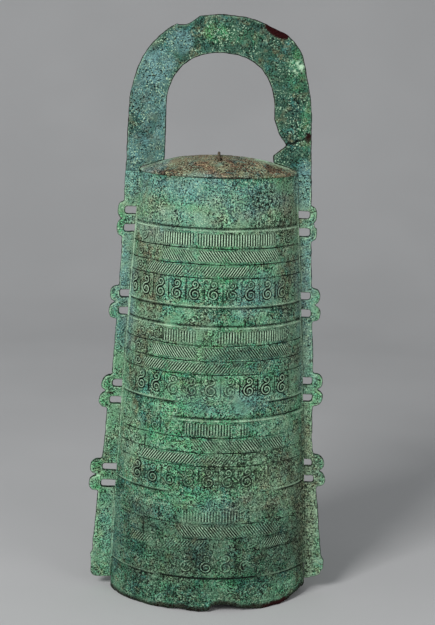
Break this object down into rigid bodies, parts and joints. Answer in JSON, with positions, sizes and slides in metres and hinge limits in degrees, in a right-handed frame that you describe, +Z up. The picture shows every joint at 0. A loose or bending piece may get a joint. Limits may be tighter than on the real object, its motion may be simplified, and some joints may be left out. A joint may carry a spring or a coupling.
{
  "type": "dotaku bell",
  "caption": "Tall hollow bronze bell with an almond-shaped body, domed crown, flat arched handle, side flanges with lugs, and a clapper hung inside.",
  "frame": {"origin": "on the ground plane, below the middle of the bell", "axes": "+Z up through the handle, +X along the flanges, -Y out of the front face"},
  "size_m": [0.253, 0.1372, 0.61],
  "materials": {
    "body_bronze": "matt green patina over cast bronze, pitted",
    "crown_bronze": "matt reddish-brown patina over cast bronze",
    "handle_bronze": "matt green and turquoise patina over cast bronze",
    "flange_bronze": "matt green patina over cast bronze",
    "clapper_bronze": "dark green-brown patina over cast bronze",
    "cord_hemp": "dark aged hemp braid"
  },
  "bodies": {
    "bell": {"bell_body": "body_bronze", "crown": "crown_bronze", "handle": "handle_bronze", "left_flange": "flange_bronze", "right_flange": "flange_bronze", "left_ear_1_upper": "flange_bronze", "left_ear_1_lower": "flange_bronze", "left_ear_2_upper": "flange_bronze", "left_ear_2_lower": "flange_bronze", "left_ear_3_upper": "flange_bronze", "left_ear_3_lower": "flange_bronze", "left_ear_4_upper": "flange_bronze", "left_ear_4_lower": "flange_bronze", "right_ear_1_upper": "flange_bronze", "right_ear_1_lower": "flange_bronze", "right_ear_2_upper": "flange_bronze", "right_ear_2_lower": "flange_bronze", "right_ear_3_upper": "flange_bronze", "right_ear_3_lower": "flange_bronze", "right_ear_4_upper": "flange_bronze", "right_ear_4_lower": "flange_bronze", "crown_cord_loop": "cord_hemp"},
    "knot": {"cord_knot": "cord_hemp"},
    "cord": {"clapper_cord": "cord_hemp"},
    "clapper": {"clapper": "clapper_bronze"}
  },
  "joints": [
    {"name": "cord_turn", "type": "hinge", "parent": "bell", "child": "knot", "pos_m": [0, 0, 0.408], "axis": [0, 0, 1], "range_deg": [-180, 180]},
    {"name": "clapper_swing", "type": "hinge", "parent": "knot", "child": "cord", "pos_m": [0, 0, 0.408], "axis": [1, 0, 0], "range_deg": [-5.5, 5.5]},
    {"name": "clapper_tilt", "type": "hinge", "parent": "cord", "child": "clapper", "pos_m": [0, 0, 0.21], "axis": [1, 0, 0], "range_deg": [-3.5, 3.5]}
  ]
}
